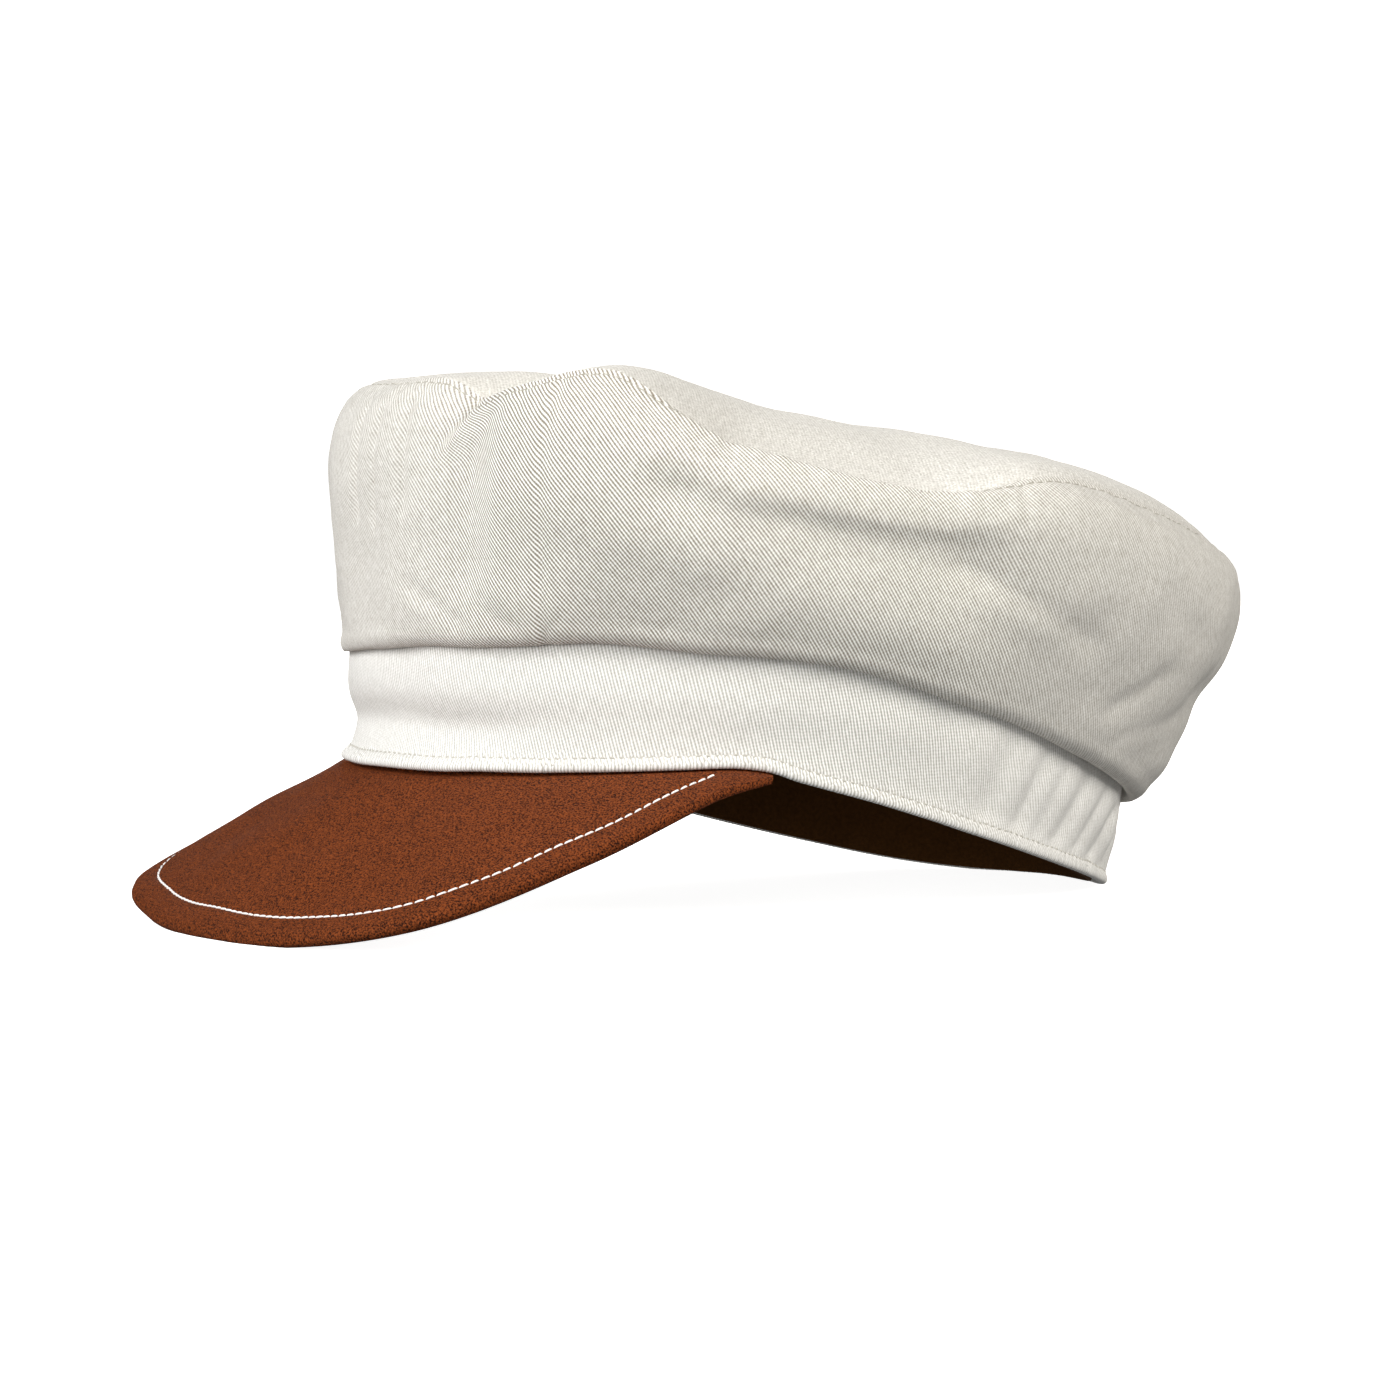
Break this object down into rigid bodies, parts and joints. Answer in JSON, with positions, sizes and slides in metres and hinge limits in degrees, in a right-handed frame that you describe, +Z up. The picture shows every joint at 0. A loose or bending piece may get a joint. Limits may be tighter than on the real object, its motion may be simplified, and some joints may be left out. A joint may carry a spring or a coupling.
{
  "type": "cadet cap",
  "caption": "Soft cadet cap with an overhanging twill crown, an upright gathered headband and a curved leather peak.",
  "frame": {"origin": "middle of the cap's footprint on the surface it rests on", "axes": "+X is the wearer's left, +Y the wearer's back and +Z up from the surface the cap rests on; the peak points to -Y"},
  "size_m": [0.2142, 0.282, 0.1339],
  "materials": {
    "crown_twill": "off-white cotton twill with fine diagonal wales, matt",
    "band_twill": "off-white cotton twill with steep wales, matt, stitched hem",
    "sweatband_leather": "very dark brown, matt",
    "peak_leather": "matt brown grained leather with a white stitched line"
  },
  "bodies": {
    "root": {"crown_side": "crown_twill", "crown_top": "crown_twill", "band": "band_twill", "sweatband": "sweatband_leather", "peak": "peak_leather"}
  },
  "joints": []
}
